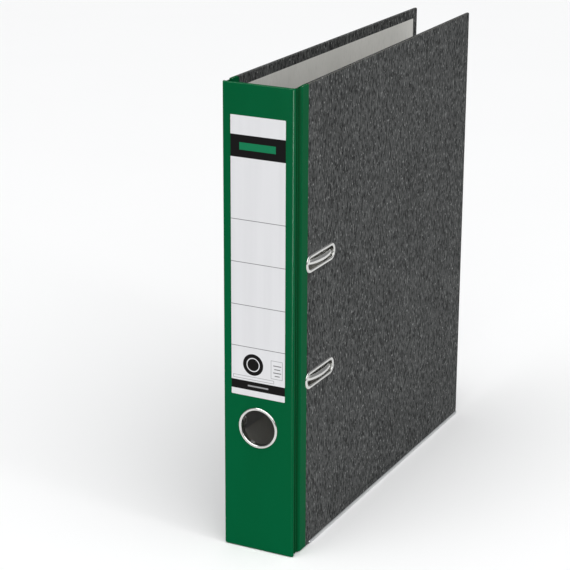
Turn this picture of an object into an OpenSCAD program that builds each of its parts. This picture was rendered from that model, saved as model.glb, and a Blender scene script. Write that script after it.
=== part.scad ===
// Lever arch file for A4 sheets: a board case with a spine and two hinged covers,
// and a lever-operated two-ring mechanism riveted inside the back cover.
//
// Working frame of the modules: X runs across the width, with the front cover on +X.
// Y runs from the outer face of the spine (0) to the fore-edges. Z is up from the base.
// placed() moves that frame so that the origin is at the middle of the whole base.

/* [Case] */
// Height of the spine and of the covers
case_h = 318; // [316:1:322]
// Depth from the outer face of the spine to the fore-edges
case_d = 285; // [275:1:295]
// Width over both covers beside the spine
case_w = 52; // [52:0.5:53]
// Thickness of the greyboards
board_t = 2; // [1.9:0.1:2.1]
// Thickness of the covering and lining papers
paper_t = 0.25; // [0.2:0.05:0.25]
// Thickness of the spine covering
cloth_t = 0.3; // [0.25:0.05:0.3]
// Width of the paper turned in over the edges of the boards
turn_in = 7; // [5:1:12]
// Angle by which the back cover leans in towards the fore-edge
back_lean = 1.6; // [1.4:0.1:1.8]

/* [Hinges] */
// Distance of each hinge line from the outer face of the spine and of the cover
hinge_in = 3; // [2.8:0.1:3.2]
// Where the cover boards start, from the outer face of the spine
cover_y0 = 10; // [9.5:0.5:10]
// Where the spine covering ends on the covers
strip_y1 = 18.5; // [16:0.5:19]

/* [Spine fittings] */
// Half width of the spine over its covering
spine_half = 25.5; // [25.3:0.1:25.5]
// Radius of the rounded long edges of the spine
spine_round = 1.5; // [1:0.1:1.6]
// Width of the label
label_w = 39; // [36:0.2:44]
// Height of the lower edge of the label
label_z0 = 110; // [104:1:114]
// Height of the upper edge of the label
label_z1 = 297.4; // [280:0.2:306]
// Thickness of the label
label_t = 0.15; // [0.1:0.05:0.2]
// Height of the centre of the thumb hole
thumb_z = 88.5; // [84:0.5:92]
// Radius of the thumb hole inside its ring
thumb_r = 12.15; // [11.5:0.05:12.5]
// Radius of the rounded rim of the thumb ring
thumb_rim_r = 1.05; // [0.8:0.05:1.2]

/* [Slots and edge guards] */
// Centre of the arch slots, from the outer face of the spine
slot_y = 37.9; // [37.5:0.1:38.2]
// Length of the opening of a slot
slot_l = 37.6; // [37.4:0.1:38]
// Height of the opening of a slot
slot_h = 7.6; // [7.4:0.1:8]
// Width of the flange around a slot
slot_flange = 2.3; // [2:0.1:2.5]
// Thickness of the flange around a slot
slot_flange_t = 0.7; // [0.5:0.1:0.8]
// Wall thickness of the slot liners
slot_wall = 0.6; // [0.5:0.1:0.7]
// Where the metal edge guards start, from the outer face of the spine
guard_y0 = 24; // [20:1:30]
// Height of the edge guards
guard_h = 2.6; // [2:0.1:4]
// Thickness of the edge guards
guard_t = 0.4; // [0.3:0.05:0.5]

/* [Rings] */
// Distance between the two rings
ring_pitch = 80; // [80]
// Radius of the bent wire of the arches
wire_r = 2.2; // [2.1:0.05:2.2]
// Radius of the fixed posts
post_r = 2.8; // [2.7:0.05:2.8]
// Distance of the posts from the outer face of the spine
post_y = 54.6; // [54.4:0.1:54.8]
// Distance of the arch shaft from the outer face of the spine
shaft_y = 23; // [22.8:0.1:23.2]
// Where the centre line of the arches is highest
arch_top_x = 25; // [24.8:0.1:25.1]
// Radius of the crown of the arches
crown_r = 45; // [42:1:50]

/* [Lever] */
// Distance from the lever pivot to the tip of the lever
lever_l = 92; // [88:1:94]
// Width of the lever
lever_w = 11; // [10.8:0.1:11]
// Thickness of the lever's sheet
lever_t = 1.2; // [1:0.1:1.2]
// Radius of the lever pivot pin
pivot_r = 1.5; // [1.4:0.1:1.6]
// Radius of the roller
roller_r = 4; // [3.9:0.05:4]
// Radius of the roller pin
roller_pin_r = 1.2; // [1:0.1:1.3]

/* [Compressor bar] */
// Length of the compressor bar
bar_l = 116; // [112:1:120]
// Width of the compressor bar
bar_w = 13; // [12.6:0.2:13.4]
// Height of the sides of the compressor bar
bar_h = 5; // [4.8:0.1:5.2]

/* [Hidden] */
$fn = 64;

green = [0, 0.37, 0.22];
marbled = [0.29, 0.30, 0.29];
liner_grey = [0.66, 0.66, 0.63];
greyboard = [0.55, 0.52, 0.47];
nickel = [0.80, 0.80, 0.78];
steel = [0.66, 0.67, 0.68];

// Case levels
half_w = case_w / 2;
inner_x = half_w - 2 * paper_t - board_t;
base_z = guard_t;
mid_z = case_h / 2;
hinge_x = half_w - hinge_in;
hinge_y = hinge_in;
spine_in_y = cloth_t + board_t + paper_t;
eps = 0.01;

// The overall width runs from the back rivet heads to the crowns of the arches
centre_x = 0.926;
centre_y = (case_d - thumb_rim_r) / 2;

// Mechanism levels, measured before the back cover's lean
plate_x = -inner_x;
plate_t = 1;
plate_top = plate_x + plate_t;
plate_y0 = 16;
plate_y1 = 66;
plate_l = 168;
shaft_x = plate_top + wire_r + 1.4;
crank_y = shaft_y + 10;
crank_half = 6.5;
crank_bend = 3;
foot_bend = 5;
spine_bend = 8;
post_bend = 3;
fit_gap = 0.06;
knuckle = 1.01;
post_top = 20.2;

// Lever levels
lever_y = crank_y;
pivot_x = -11.5;
pivot_z = mid_z + 20;
roller_z = mid_z + 3;
roller_x = shaft_x + wire_r + roller_r + 0.05;
lever_top = pivot_x + 5.5;

// Rivet places on the base plate, as [y, z]
rivets = [for (y = [plate_y0 + 5, plate_y1 - 5], z = [-1, 1]) [y, mid_z + z * (plate_l / 2 - 7)]];
rivet_r = 1.9;
rivet_head_r = 4;
rivet_head_h = 0.9;

// ---------------------------------------------------------------- helpers

// Puts the working frame's case into the part's own frame
module placed() {
    translate([-centre_x, -centre_y, 0]) children();
}

// Leans the pieces that are mounted on the back cover
module on_back() {
    placed()
        translate([-hinge_x, hinge_y, 0])
        rotate([0, 0, -back_lean])
        translate([hinge_x, -hinge_y, 0]) children();
}

// Box between two corners
module block(low, high) {
    translate(low) cube(high - low);
}

// Cylinder along X, from x0 to x1
module rod_x(r, x0, x1, y, z) {
    translate([x0, y, z]) rotate([0, 90, 0]) cylinder(r = r, h = x1 - x0);
}

// Cylinder along Y, from y0 to y1
module rod_y(r, x, y0, y1, z) {
    translate([x, y0, z]) rotate([-90, 0, 0]) cylinder(r = r, h = y1 - y0);
}

// Flat rectangle with round corners, centred
module round_rect(w, h, r) {
    square([w - 2 * r, h], center = true);
    square([w, h - 2 * r], center = true);
    for (x = [-1, 1], y = [-1, 1]) translate([x * (w / 2 - r), y * (h / 2 - r)]) circle(r = r);
}

// Upright plate with round corners: w along Y, h along Z, from x0 to x1
module plate_yz(w, h, r, x0, x1, y, z) {
    translate([x0, y, z]) rotate([90, 0, 90]) linear_extrude(x1 - x0) round_rect(w, h, r);
}

// Shallow domed disc that rises from the XY plane
module dome(r, h) {
    ball = (r * r + h * h) / (2 * h);
    intersection() {
        translate([0, 0, h - ball]) sphere(r = ball, $fn = 96);
        cylinder(r = r, h = 2 * h);
    }
}

// Rod that runs straight and then bends, step by step, with a ball where they meet.
// Each step is [straight length, bend radius, bend angle, turn of the bend's plane].
module bent_rod(r, steps, i = 0) {
    run = steps[i][0];
    bend_r = steps[i][1];
    bend_a = steps[i][2];
    turn = steps[i][3];
    if (run > 0) cylinder(r = r, h = run);
    if (bend_a > 0) {
        translate([0, 0, run]) rotate([0, 0, turn]) {
            sphere(r = knuckle * r);
            translate([bend_r, 0, 0]) rotate([90, 0, 0]) rotate([0, 0, 180 - bend_a])
                rotate_extrude(angle = bend_a) translate([bend_r, 0]) circle(r = r);
            if (i + 1 < len(steps)) {
                translate([bend_r * (1 - cos(bend_a)), 0, bend_r * sin(bend_a)])
                    rotate([0, bend_a, 0]) {
                        sphere(r = knuckle * r);
                        bent_rod(r, steps, i + 1);
                    }
            }
        }
    }
}

// ---------------------------------------------------------------- spine

// Section of the spine: flat outer face with two rounded long edges
module spine_section(half, y0, y1, r) {
    translate([-half + r, y0]) square([2 * (half - r), r + eps]);
    translate([-half, y0 + r]) square([2 * half, y1 - y0 - r]);
    intersection() {
        for (x = [-1, 1]) translate([x * (half - r), y0 + r]) circle(r = r);
        translate([-half - 1, y0 - 1]) square([2 * half + 2, r + 1 + eps]);
    }
}

module spine_core(z0, z1) {
    translate([0, 0, z0]) linear_extrude(z1 - z0)
        spine_section(spine_half - cloth_t, cloth_t, cloth_t + board_t, spine_round - cloth_t);
}

module thumb_bore() {
    rod_y(thumb_r + 0.7, 0, -1, spine_in_y + 1, thumb_z);
}

module spine_board() {
    placed() color(greyboard) difference() {
        spine_core(base_z + cloth_t, case_h - cloth_t);
        thumb_bore();
    }
}

module spine_cover() {
    placed() color(green) difference() {
        translate([0, 0, base_z]) linear_extrude(case_h - base_z)
            spine_section(spine_half, 0, spine_in_y, spine_round);
        spine_core(base_z + cloth_t, case_h - cloth_t);
        block([-spine_half + cloth_t, cloth_t + board_t - eps, base_z + 2 * turn_in],
            [spine_half - cloth_t, spine_in_y + 1, case_h - 2 * turn_in]);
        thumb_bore();
    }
}

module spine_liner() {
    placed() color(liner_grey) difference() {
        block([-spine_half + cloth_t, cloth_t + board_t, base_z + 2 * turn_in],
            [spine_half - cloth_t, spine_in_y, case_h - 2 * turn_in]);
        thumb_bore();
    }
}

module spine_label() {
    placed() color("white")
        block([-label_w / 2, -label_t, label_z0], [label_w / 2, 0, label_z1]);
}

// Eyelet: a rounded rim outside the spine and a tube through it
module thumb_ring() {
    placed() color(nickel) translate([0, 0, thumb_z]) rotate([-90, 0, 0]) rotate_extrude() {
        intersection() {
            translate([thumb_r + thumb_rim_r, 0]) circle(r = thumb_rim_r);
            translate([0, -2 * thumb_rim_r]) square([2 * thumb_r, 2 * thumb_rim_r]);
        }
        translate([thumb_r, -eps]) square([0.6, spine_in_y + 0.5 + eps]);
    }
}

module thumb_ring_washer() {
    placed() color(nickel) translate([0, spine_in_y, thumb_z]) rotate([-90, 0, 0])
        difference() {
            cylinder(r = thumb_r + 2.9, h = 0.5);
            translate([0, 0, -1]) cylinder(r = thumb_r + 0.6, h = 3);
        }
}

// ---------------------------------------------------------------- case covers

// Creased covering between the spine and a cover, with two grooves and a ridge
module joint_section() {
    outer = [[spine_half, spine_in_y], [24.6, 3.6], [24.5, 4.4], [25.2, 6.2], [25.2, 6.9],
        [24.6, 8.5], [25.2, 9.5], [half_w, cover_y0]];
    flex_t = cloth_t + paper_t;
    polygon(concat(outer, [for (i = [len(outer) - 1:-1:0]) outer[i] - [flex_t, 0]]));
}

module joint_cloth() {
    translate([0, 0, base_z]) linear_extrude(case_h - base_z) joint_section();
}

// Board of a cover, drawn on the +X side
module cover_core(y0) {
    block([inner_x + paper_t, y0, base_z + paper_t],
        [half_w - paper_t, case_d - paper_t, case_h - paper_t]);
}

// Covering wrapped around a board between y0 and y1, open inside where the liner lies
module cover_wrap(y0, y1) {
    difference() {
        block([inner_x, y0, base_z], [half_w, y1, case_h]);
        cover_core(y0 - 1);
        cover_window(y0 - 1, case_d - turn_in);
    }
}

// Space of the inside lining
module cover_window(y0, y1) {
    block([inner_x - 1, y0, base_z + turn_in], [inner_x + paper_t + eps, y1, case_h - turn_in]);
}

module cover_lining() {
    block([inner_x, cover_y0, base_z + turn_in],
        [inner_x + paper_t, case_d - turn_in, case_h - turn_in]);
}

// Folded metal channel over the lower edge of a cover
module edge_guard() {
    difference() {
        block([inner_x - guard_t, guard_y0, 0], [half_w + guard_t, case_d, guard_h]);
        block([inner_x, guard_y0 - 1, base_z], [half_w, case_d + 1, guard_h + 1]);
    }
}

// Cut through a cover for one slot and the wall of its liner
module slot_cut(z) {
    plate_yz(slot_l + 2 * slot_wall, slot_h + 2 * slot_wall, slot_h / 2 + slot_wall - eps,
        inner_x - 1, half_w + 1, slot_y, z);
}

module both_slots() {
    for (side = [-1, 1]) slot_cut(mid_z + side * ring_pitch / 2);
}

// Flanged liner of one slot
module slot_liner(z) {
    flange_l = slot_l + 2 * slot_flange;
    flange_h = slot_h + 2 * slot_flange;
    color(nickel) difference() {
        union() {
            plate_yz(flange_l, flange_h, flange_h / 2 - eps,
                half_w, half_w + slot_flange_t, slot_y, z);
            plate_yz(flange_l, flange_h, flange_h / 2 - eps,
                inner_x - slot_flange_t, inner_x, slot_y, z);
            plate_yz(slot_l + 2 * slot_wall, slot_h + 2 * slot_wall,
                slot_h / 2 + slot_wall - eps, inner_x, half_w, slot_y, z);
        }
        plate_yz(slot_l, slot_h, slot_h / 2 - eps, inner_x - 2, half_w + 2, slot_y, z);
    }
}

module front_joint() {
    placed() color(green) joint_cloth();
}

module front_board() {
    placed() color(greyboard) difference() {
        cover_core(cover_y0);
        both_slots();
    }
}

module front_strip() {
    placed() color(green) cover_wrap(cover_y0, strip_y1);
}

module front_paper() {
    placed() color(marbled) difference() {
        cover_wrap(strip_y1, case_d);
        both_slots();
    }
}

module front_liner() {
    placed() color(liner_grey) difference() {
        cover_lining();
        both_slots();
    }
}

module front_edge_guard() {
    placed() color(nickel) edge_guard();
}

module upper_slot_liner() {
    placed() slot_liner(mid_z + ring_pitch / 2);
}

module lower_slot_liner() {
    placed() slot_liner(mid_z - ring_pitch / 2);
}

// Holes for the rivets of the mechanism
module rivet_bores() {
    for (p = rivets) rod_x(rivet_r, -half_w - 2, plate_top + 2, p[0], p[1]);
}

module back_joint() {
    on_back() color(green) mirror([1, 0, 0]) joint_cloth();
}

module back_board() {
    on_back() color(greyboard) difference() {
        mirror([1, 0, 0]) cover_core(cover_y0);
        rivet_bores();
    }
}

module back_strip() {
    on_back() color(green) mirror([1, 0, 0]) cover_wrap(cover_y0, strip_y1);
}

module back_paper() {
    on_back() color(marbled) difference() {
        mirror([1, 0, 0]) cover_wrap(strip_y1, case_d);
        rivet_bores();
    }
}

module back_liner() {
    on_back() color(liner_grey) difference() {
        mirror([1, 0, 0]) cover_lining();
        rivet_bores();
    }
}

module back_edge_guard() {
    on_back() color(nickel) mirror([1, 0, 0]) edge_guard();
}

// ---------------------------------------------------------------- mechanism

// Pressed steel plate with turned-up long edges
module base_plate() {
    plate_w = plate_y1 - plate_y0;
    middle = (plate_y0 + plate_y1) / 2;
    on_back() color(steel) difference() {
        union() {
            plate_yz(plate_w, plate_l, 6, plate_x, plate_top, middle, mid_z);
            for (y = [plate_y0, plate_y1 - plate_t])
                block([plate_top - eps, y, mid_z - plate_l / 2 + 8],
                    [plate_top + 1.2, y + plate_t, mid_z + plate_l / 2 - 8]);
        }
        rivet_bores();
    }
}

module rivet() {
    rod_x(rivet_r, -half_w, plate_top, 0, 0);
    translate([-half_w, 0, 0]) rotate([0, -90, 0]) dome(rivet_head_r, rivet_head_h);
    translate([plate_top, 0, 0]) rotate([0, 90, 0]) dome(rivet_head_r - 0.8, rivet_head_h);
}

module mechanism_rivets() {
    on_back() color(nickel) for (p = rivets) translate([0, p[0], p[1]]) rivet();
}

// Straight post with a foot, and a dimple for the tip of the arch
module post(z) {
    translate([0, post_y, z]) rotate([0, 90, 0]) difference() {
        union() {
            translate([0, 0, plate_top]) cylinder(r = post_r, h = post_top - plate_top);
            translate([0, 0, plate_top]) cylinder(r = post_r + 2, h = 0.8);
        }
        translate([0, 0, post_top - 1.2]) cylinder(r1 = 0.1, r2 = 1.9, h = 1.2);
    }
}

module upper_post() {
    on_back() color(nickel) post(mid_z + ring_pitch / 2);
}

module lower_post() {
    on_back() color(nickel) post(mid_z - ring_pitch / 2);
}

// Two bearings that hold the shaft of the arches
module shaft_lugs() {
    lug_r = 3.6;
    foot = 2.2;
    on_back() color(steel) for (side = [-1, 1]) translate([0, 0, mid_z + side * 27 - 4])
        difference() {
            union() {
                translate([shaft_x, shaft_y, 0]) cylinder(r = lug_r, h = 8);
                block([plate_top, shaft_y - lug_r, 0], [shaft_x, shaft_y + lug_r, 8]);
                block([plate_top, shaft_y - lug_r - foot, 0],
                    [plate_top + 1, shaft_y + lug_r + foot, 8]);
            }
            translate([shaft_x, shaft_y, -1]) cylinder(r = wire_r + fit_gap, h = 10);
        }
}

// Half of the arch wire: crank, shaft, leg, crown and tip
module half_arch() {
    span = post_y - shaft_y;
    bends = spine_bend + post_bend;
    crown_a = asin((span - bends) / (2 * crown_r - bends));
    leg_top = arch_top_x - crown_r * (1 - cos(crown_a)) - spine_bend * cos(crown_a);
    tip_x = arch_top_x - crown_r * (1 - cos(crown_a)) - post_bend * cos(crown_a);
    shaft_run = ring_pitch / 2 - foot_bend - crank_half - 2 * crank_bend;
    tip_run = tip_x - post_top - 0.3;
    steps = [
        [crank_half, crank_bend, 90, -90],
        [crank_y - shaft_y - 2 * crank_bend, crank_bend, 90, 180],
        [shaft_run, foot_bend, 90, -90],
        [leg_top - shaft_x - foot_bend, spine_bend, 90 - crown_a, 90],
        [0, crown_r, 2 * crown_a, 0],
        [0, post_bend, 90 - crown_a, 0],
        [max(tip_run, 0), 0, 0, 0]];
    difference() {
        translate([shaft_x, crank_y, 0]) bent_rod(wire_r, steps);
        block([post_top - 4, post_y - 5, ring_pitch / 2 - 5],
            [post_top + 0.3, post_y + 5, ring_pitch / 2 + 5]);
    }
    translate([post_top + 0.3 + eps, post_y, ring_pitch / 2]) rotate([0, -90, 0])
        cylinder(r1 = 1.5, r2 = 0.3, h = 0.9);
}

module arch_wire() {
    on_back() color(nickel) translate([0, 0, mid_z]) {
        half_arch();
        mirror([0, 0, 1]) half_arch();
    }
}

// Torsion spring around the shaft, swept along a coil with two legs
spring_wire = 0.45;
spring_coil = 2.9;
spring_turns = 5;
spring_pitch = 1.3;
spring_z0 = mid_z - 21.5;
spring_sides = 8;
function coil_point(t) = [
    shaft_x + spring_coil * cos(t),
    shaft_y + spring_coil * sin(t),
    spring_z0 + spring_pitch * t / 360];
spring_path = concat(
    [coil_point(0) + [0, -7, 0], coil_point(0) + [0, -1, 0]],
    [for (t = [0:20:360 * spring_turns]) coil_point(t)],
    [coil_point(360 * spring_turns) + [0, 1, 0], coil_point(360 * spring_turns) + [0, 8, 0]]);

function unit(v) = v / norm(v);
function heading(path, i) =
    unit(path[min(i + 1, len(path) - 1)] - path[max(i - 1, 0)]);
function ring_points(path, i, r) =
    let (h = heading(path, i), side = unit(cross(h, [0, 0, 1])), up = cross(side, h))
    [for (k = [0:spring_sides - 1])
        path[i] + r * (cos(360 * k / spring_sides) * side + sin(360 * k / spring_sides) * up)];

module swept_wire(path, r) {
    n = spring_sides;
    last = (len(path) - 1) * n;
    points = [for (i = [0:len(path) - 1]) each ring_points(path, i, r)];
    walls = [for (i = [0:len(path) - 2], k = [0:n - 1])
        [i * n + k, i * n + (k + 1) % n, (i + 1) * n + (k + 1) % n, (i + 1) * n + k]];
    polyhedron(points, concat(walls, [[for (k = [n - 1:-1:0]) k]], [[for (k = [0:n - 1]) last + k]]));
}

module arch_spring() {
    on_back() color(steel) swept_wire(spring_path, spring_wire);
}

// Upright ears that carry the lever's pivot pin
module lever_bracket() {
    ear_r = 4;
    ear_out = lever_w / 2 - lever_t - 0.2;
    on_back() color(steel) difference() {
        union() {
            for (side = [-1, 1]) {
                y0 = lever_y + (side > 0 ? ear_out - lever_t : -ear_out);
                rod_y(ear_r - 0.3, pivot_x, y0, y0 + lever_t, pivot_z);
                block([plate_top, y0, pivot_z - ear_r + 0.3],
                    [pivot_x, y0 + lever_t, pivot_z + ear_r - 0.3]);
            }
            block([plate_top, lever_y - ear_out, pivot_z - ear_r],
                [plate_top + 1, lever_y + ear_out, pivot_z + ear_r + 4]);
        }
        rod_y(pivot_r, pivot_x, lever_y - 10, lever_y + 10, pivot_z);
    }
}

module headed_pin(r, x, z) {
    half = lever_w / 2 + 0.3;
    rod_y(r, x, lever_y - half, lever_y + half, z);
    rod_y(r + 0.8, x, lever_y + half - eps, lever_y + half + 0.7, z);
    rod_y(r + 0.8, x, lever_y - half - 0.7, lever_y - half + eps, z);
}

module lever_pin() {
    on_back() color(nickel) headed_pin(pivot_r, pivot_x, pivot_z);
}

// Side of the lever, as an outline in [height from the pivot, depth below the top face]
module lever_side() {
    deep = 9.5;
    shallow = 3;
    end = lever_l - 19;
    polygon([[5, 0], [5, deep - 2], [3, deep], [-22, deep], [-40, shallow],
        [2 - end, shallow], [-end, lever_t - eps], [-end, 0]]);
}

// Channel with a finger ring at its tip
module lever() {
    grip_r = 10;
    grip_z = pivot_z - lever_l + grip_r;
    hole_r = 6.2;
    on_back() color(nickel) difference() {
        union() {
            block([lever_top - lever_t, lever_y - lever_w / 2, grip_z],
                [lever_top, lever_y + lever_w / 2, pivot_z + 5]);
            for (y = [lever_y - lever_w / 2, lever_y + lever_w / 2 - lever_t])
                translate([lever_top, y + lever_t, pivot_z]) rotate([90, -90, 0])
                    linear_extrude(lever_t) lever_side();
            rod_x(grip_r, lever_top - lever_t, lever_top, lever_y, grip_z);
        }
        rod_x(hole_r, lever_top - 5, lever_top + 5, lever_y, grip_z);
        rod_y(pivot_r + fit_gap, pivot_x, lever_y - 10, lever_y + 10, pivot_z);
        rod_y(roller_pin_r, roller_x, lever_y - 10, lever_y + 10, roller_z);
    }
}

module roller_pin() {
    on_back() color(steel)
        rod_y(roller_pin_r, roller_x, lever_y - lever_w / 2 - 0.4, lever_y + lever_w / 2 + 0.4,
            roller_z);
}

module roller() {
    half = lever_w / 2 - lever_t - 0.3;
    on_back() color(nickel) difference() {
        rod_y(roller_r, roller_x, lever_y - half, lever_y + half, roller_z);
        rod_y(roller_pin_r + fit_gap, roller_x, lever_y - 10, lever_y + 10, roller_z);
    }
}

// ---------------------------------------------------------------- compressor bar

bar_x0 = plate_top + 1.3;
bar_top = bar_x0 + bar_h;
bar_t = 1;
bush_r = 3.9;
catch_travel = 2.5;

module bush_bores(r) {
    for (side = [-1, 1])
        rod_x(r, bar_x0 - 2, bar_top + 4, post_y, mid_z + side * ring_pitch / 2);
}

// Channel that slides on the posts and holds the sheets down
module compressor_bar() {
    on_back() color(nickel) difference() {
        plate_yz(bar_w, bar_l, bar_w / 2 - eps, bar_x0, bar_top, post_y, mid_z);
        plate_yz(bar_w - 2 * bar_t, bar_l - 2 * bar_t, bar_w / 2 - bar_t - eps,
            bar_x0 - 1, bar_top - bar_t, post_y, mid_z);
        bush_bores(bush_r);
        block([bar_top - 3, post_y - 2.5, mid_z - 7], [bar_top + 1, post_y + 2.5, mid_z + 9.6]);
    }
}

module compressor_bushes() {
    on_back() color("black") for (side = [-1, 1]) translate([0, post_y, mid_z + side * ring_pitch / 2])
        rotate([0, 90, 0]) difference() {
            union() {
                translate([0, 0, bar_top - 3.2]) cylinder(r = bush_r, h = 3.2);
                translate([0, 0, bar_top]) cylinder(r = bush_r + 1, h = 0.8);
            }
            translate([0, 0, bar_x0 - 2]) cylinder(r = post_r + fit_gap, h = 12);
        }
}

// Spring-steel strip that grips the posts until its tab is pushed
module compressor_catch() {
    catch_t = 0.6;
    catch_x = bar_top - bar_t - 0.9 - catch_t;
    catch_w = bar_w - 2 * bar_t - 1.2;
    slot_r = bush_r + 0.4;
    on_back() color(steel) difference() {
        union() {
            plate_yz(catch_w, bar_l - 2 * bar_t - 8, 4, catch_x, catch_x + catch_t, post_y,
                mid_z - catch_travel / 2);
            block([catch_x, post_y - 2, mid_z - 6], [bar_top + 1.6, post_y + 2, mid_z - 5]);
        }
        for (side = [-1, 1]) {
            z = mid_z + side * ring_pitch / 2;
            plate_yz(2 * slot_r, 2 * slot_r + catch_travel + 0.6, slot_r - eps,
                catch_x - 1, catch_x + 2, post_y, z - catch_travel / 2 - 0.3);
        }
    }
}

spine_board();
spine_cover();
spine_liner();
spine_label();
thumb_ring();
thumb_ring_washer();
front_joint();
front_board();
front_strip();
front_paper();
front_liner();
front_edge_guard();
upper_slot_liner();
lower_slot_liner();
back_joint();
back_board();
back_strip();
back_paper();
back_liner();
back_edge_guard();
base_plate();
mechanism_rivets();
upper_post();
lower_post();
shaft_lugs();
lever_bracket();
lever_pin();
arch_spring();
arch_wire();
lever();
roller_pin();
roller();
compressor_bar();
compressor_bushes();
compressor_catch();
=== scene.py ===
# Lever arch file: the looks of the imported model. All lengths below are in millimetres in the
# case frame (X across, Y from the outer face of the spine, Z up). rest() and lean() put them in
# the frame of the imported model, in metres.
import math

import bmesh
import bpy
from mathutils import Matrix, Vector
from mathutils.geometry import tessellate_polygon


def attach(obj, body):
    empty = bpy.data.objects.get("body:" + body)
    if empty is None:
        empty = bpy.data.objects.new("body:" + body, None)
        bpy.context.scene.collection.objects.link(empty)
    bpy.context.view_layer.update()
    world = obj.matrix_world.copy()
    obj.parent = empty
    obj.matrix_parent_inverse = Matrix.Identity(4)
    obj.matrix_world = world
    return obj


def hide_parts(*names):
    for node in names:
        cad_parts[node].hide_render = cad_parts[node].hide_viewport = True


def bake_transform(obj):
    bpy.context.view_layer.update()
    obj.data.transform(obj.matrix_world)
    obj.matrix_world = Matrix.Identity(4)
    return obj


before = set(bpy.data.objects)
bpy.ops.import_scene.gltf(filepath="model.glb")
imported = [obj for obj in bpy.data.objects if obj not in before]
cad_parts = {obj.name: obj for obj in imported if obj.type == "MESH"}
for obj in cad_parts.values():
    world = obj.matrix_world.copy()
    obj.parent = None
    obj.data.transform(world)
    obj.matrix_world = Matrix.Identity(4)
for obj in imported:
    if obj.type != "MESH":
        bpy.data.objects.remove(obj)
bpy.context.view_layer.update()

# ---------------------------------------------------------------- sizes

CASE_H, CASE_D = 318.0, 285.0
HALF_W = 26.0
INNER_X = 23.5
BASE = 0.4
MID = CASE_H / 2
HINGE = (23.0, 3.0)
LEAN = math.radians(1.6)
CENTRE_X, CENTRE_Y = 0.926, 141.975
SPINE_HALF, SPINE_IN, SPINE_R = 25.5, 2.55, 1.5
COVER_Y0, STRIP_Y1 = 10.0, 18.5
TURN_IN = 7.0
# The pressed joint of the covering as (x, y): two grooves with a ridge between them, and the
# radius of each corner. Its ends stand back from the ends of the boards by up to these depths.
CREASE = [(25.5, 1.7), (25.4, 2.3), (24.2, 3.0), (24.15, 5.1), (24.75, 5.8), (24.75, 6.4),
          (24.1, 7.0), (24.15, 8.0), (26.0, 10.1), (26.0, 12.0)]
CREASE_R = [0.4, 0.5, 0.5, 0.3, 0.25, 0.3, 0.3, 0.6]
RIDGE_Y = 6.1
SINK_LOW, SINK_TOP = 0.45, 0.525
LABEL_HALF, LABEL_Z = 19.5, (110.0, 297.4)
THUMB_Z, THUMB_R = 88.5, 12.15
SLOT_Y, SLOT_L, SLOT_H = 37.9, 37.6, 7.6
PITCH = 80.0
PLATE_TOP = -22.5
SHAFT = (-18.9, 23.0)
CRANK_Y, CRANK_HALF, CRANK_BEND = 33.0, 6.5, 3.0
POST_Y, POST_R, POST_TOP = 54.6, 2.8, 20.2
WIRE_R = 2.2


def rest(x, y, z):
    """A case-frame point in the row frame, in metres."""
    return Vector(((x - CENTRE_X) / 1000, (y - CENTRE_Y) / 1000, z / 1000))


def lean(x, y, z):
    """A point on the back cover, which leans in about its hinge, in the row frame."""
    c, s = math.cos(LEAN), math.sin(LEAN)
    u, v = x + HINGE[0], y - HINGE[1]
    return rest(-HINGE[0] + u * c + v * s, HINGE[1] - u * s + v * c, z)


# ---------------------------------------------------------------- node materials


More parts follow.
